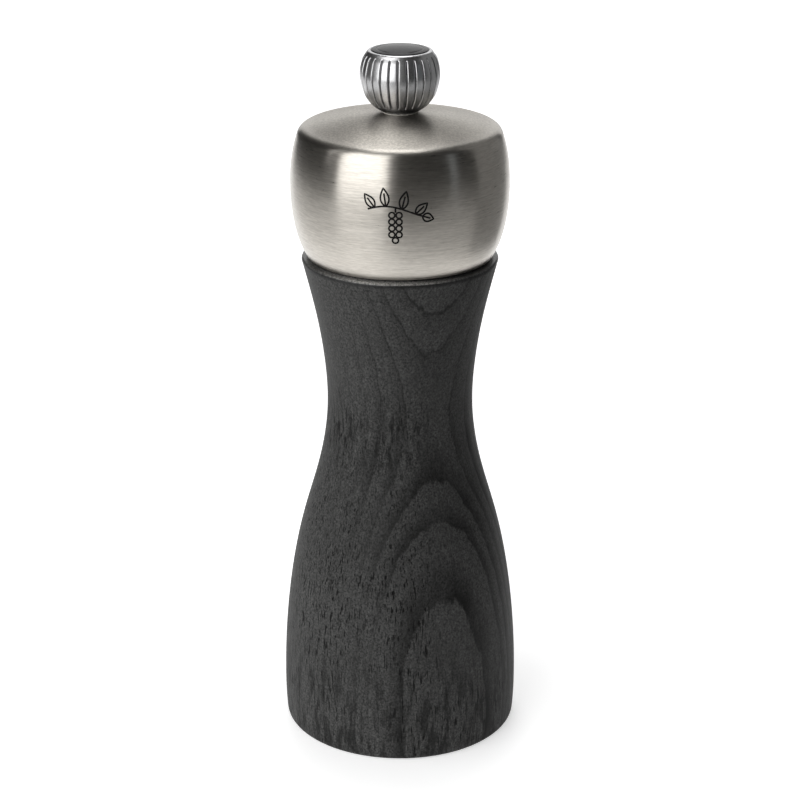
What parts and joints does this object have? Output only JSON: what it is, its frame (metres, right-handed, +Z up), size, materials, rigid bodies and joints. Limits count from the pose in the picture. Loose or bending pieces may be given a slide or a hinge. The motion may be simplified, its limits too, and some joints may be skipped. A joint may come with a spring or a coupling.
{
  "type": "pepper mill",
  "caption": "Hand-turned pepper mill with a waisted wooden body, a brushed steel cap that turns a burr grinder, and a fluted knob that sets the grind.",
  "frame": {"origin": "centre of the foot, on the surface that the mill stands on", "axes": "+Z up along the mill's turning axis; -Y is the front, where the printed mark faces"},
  "size_m": [0.051, 0.051, 0.1504],
  "materials": {
    "stained_wood": "open-grained wood stained charcoal, matte",
    "brushed_steel": "circumferential brushing",
    "cast_knob": "plated zinc casting with fine pits",
    "black_gloss": "gloss",
    "black_nylon": "moulded, fine texture",
    "natural_nylon": "moulded, translucent white",
    "plated_steel": "zinc plated",
    "spring_steel": "drawn and formed",
    "hardened_steel": "case hardened, dark",
    "brass": "turned"
  },
  "bodies": {
    "mill_body": {"wooden_body": "stained_wood", "body_collar": "black_nylon", "base_plate": "plated_steel", "base_screws": "plated_steel", "mechanism_housing": "black_nylon", "outer_burr": "hardened_steel", "shaft_bridge": "spring_steel"},
    "drive": {"spring_top_washer": "plated_steel", "grinding_spring": "spring_steel"},
    "shaft": {"drive_shaft": "plated_steel", "inner_burr": "hardened_steel", "burr_washer": "plated_steel", "spring_cup": "plated_steel"},
    "cap": {"cap_shell": "brushed_steel", "cap_core": "black_nylon", "cap_bush": "natural_nylon", "drive_plate": "plated_steel", "drive_plate_screws": "plated_steel"},
    "knob_seat": {"knob_washer": "plated_steel"},
    "knob": {"knob_shell": "cast_knob", "knob_nut": "brass", "knob_lock_ring": "natural_nylon", "knob_medallion": "black_gloss"}
  },
  "joints": [
    {"name": "cap_turn", "type": "hinge", "parent": "mill_body", "child": "drive", "pos_m": [0, 0, 0.1068], "axis": [0, 0, 1], "continuous": true},
    {"name": "cap_lift", "type": "slide", "parent": "drive", "child": "cap", "axis": [0, 0, 1], "range_m": [0, 0.06]},
    {"name": "grind_set", "type": "slide", "parent": "drive", "child": "shaft", "axis": [0, 0, 1], "range_m": [0, 0.0012], "deforming": ["grinding_spring"]},
    {"name": "knob_lift", "type": "slide", "parent": "cap", "child": "knob_seat", "axis": [0, 0, 1], "range_m": [0, 0.02]},
    {"name": "knob_turn", "type": "hinge", "parent": "knob_seat", "child": "knob", "pos_m": [0, 0, 0.13725], "axis": [0, 0, 1], "range_deg": [-540, 0]}
  ],
  "couplings": [
    {"joint": "knob_turn", "follows": "grind_set", "rad_per_m": -7854}
  ]
}
